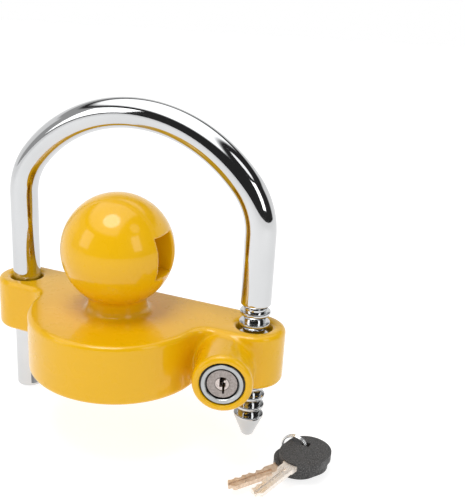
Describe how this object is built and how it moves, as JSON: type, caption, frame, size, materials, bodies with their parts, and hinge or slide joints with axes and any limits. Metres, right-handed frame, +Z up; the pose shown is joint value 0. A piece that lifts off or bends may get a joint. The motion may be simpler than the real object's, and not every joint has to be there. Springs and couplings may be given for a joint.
{
  "type": "trailer coupler lock",
  "caption": "Ball-and-shackle trailer coupler lock: cast body with ball, captive U shackle with ratchet leg, key cylinder with pawl and keys on a split ring.",
  "frame": {"origin": "centre of the ball that sits in the trailer coupler's socket", "axes": "+Z up out of the base plate along the ball's neck and the shackle legs; +X towards the ratchet leg and the lock; -Y towards the round front of the plate"},
  "size_m": [0.1656, 0.0648, 0.145],
  "materials": {
    "yellow_coat": "gloss powder coat",
    "chrome": "polished",
    "zinc_shell": "turned",
    "plug_metal": "satin",
    "wafer_brass": "satin",
    "spring_steel": "satin",
    "hardened_steel": "ground",
    "key_plastic": "fine stipple",
    "key_silver": "satin",
    "key_copper": "satin",
    "ring_wire": "polished"
  },
  "bodies": {
    "lock_body": {"body_casting": "yellow_coat", "cylinder_shell": "zinc_shell", "cylinder_retaining_pin": "hardened_steel", "shackle_retaining_pin": "hardened_steel"},
    "shackle": {"shackle": "chrome"},
    "plug": {"lock_plug": "plug_metal", "tail_cam": "hardened_steel", "cam_cross_pin": "hardened_steel", "wafer_spring_1": "spring_steel", "wafer_spring_2": "spring_steel", "wafer_spring_3": "spring_steel", "wafer_spring_4": "spring_steel", "wafer_spring_5": "spring_steel"},
    "wafer_1": {"wafer_1": "wafer_brass"},
    "wafer_2": {"wafer_2": "wafer_brass"},
    "wafer_3": {"wafer_3": "wafer_brass"},
    "wafer_4": {"wafer_4": "wafer_brass"},
    "wafer_5": {"wafer_5": "wafer_brass"},
    "pawl": {"locking_pawl": "hardened_steel", "pawl_spring": "spring_steel"},
    "key_ring": {"key_ring": "ring_wire"},
    "key_1": {"key_1_blade": "key_silver", "key_1_head": "key_plastic"},
    "key_2": {"key_2_blade": "key_copper", "key_2_head": "key_plastic"}
  },
  "joints": [
    {"name": "shackle_lift", "type": "slide", "parent": "lock_body", "child": "shackle", "axis": [0, 0, 1], "range_m": [-0.01429, 0.03334]},
    {"name": "plug_turn", "type": "hinge", "parent": "lock_body", "child": "plug", "pos_m": [0.05635, -0.01706, -0.0404], "axis": [-0.3256, 0.9455, 0], "range_deg": [-90, 0]},
    {"name": "pawl_slide", "type": "slide", "parent": "lock_body", "child": "pawl", "axis": [0.9455, 0.3256, 0], "range_m": [0, 0.0017], "deforming": ["pawl_spring"]},
    {"name": "wafer_1_slide", "type": "slide", "parent": "plug", "child": "wafer_1", "axis": [0, 0, 1], "range_m": [0, 0.0006], "deforming": ["wafer_spring_1"]},
    {"name": "wafer_2_slide", "type": "slide", "parent": "plug", "child": "wafer_2", "axis": [0, 0, 1], "range_m": [0, 0.0006], "deforming": ["wafer_spring_2"]},
    {"name": "wafer_3_slide", "type": "slide", "parent": "plug", "child": "wafer_3", "axis": [0, 0, 1], "range_m": [0, 0.0006], "deforming": ["wafer_spring_3"]},
    {"name": "wafer_4_slide", "type": "slide", "parent": "plug", "child": "wafer_4", "axis": [0, 0, 1], "range_m": [0, 0.0006], "deforming": ["wafer_spring_4"]},
    {"name": "wafer_5_slide", "type": "slide", "parent": "plug", "child": "wafer_5", "axis": [0, 0, 1], "range_m": [0, 0.0006], "deforming": ["wafer_spring_5"]},
    {"name": "key_ring_slide", "type": "slide", "parent": "lock_body", "child": "key_ring", "axis": [1, 0, 0], "range_m": [0, 0.05]},
    {"name": "key_1_swing", "type": "hinge", "parent": "key_ring", "child": "key_1", "pos_m": [0.08418, 0.01177, -0.0763], "axis": [0, 0, 1], "range_deg": [-8, 8]},
    {"name": "key_2_swing", "type": "hinge", "parent": "key_ring", "child": "key_2", "pos_m": [0.08418, 0.01177, -0.0799], "axis": [0, 0, 1], "range_deg": [0, 8]}
  ],
  "couplings": [
    {"joint": "pawl_slide", "follows": "plug_turn", "m_per_rad": -0.0010823}
  ]
}
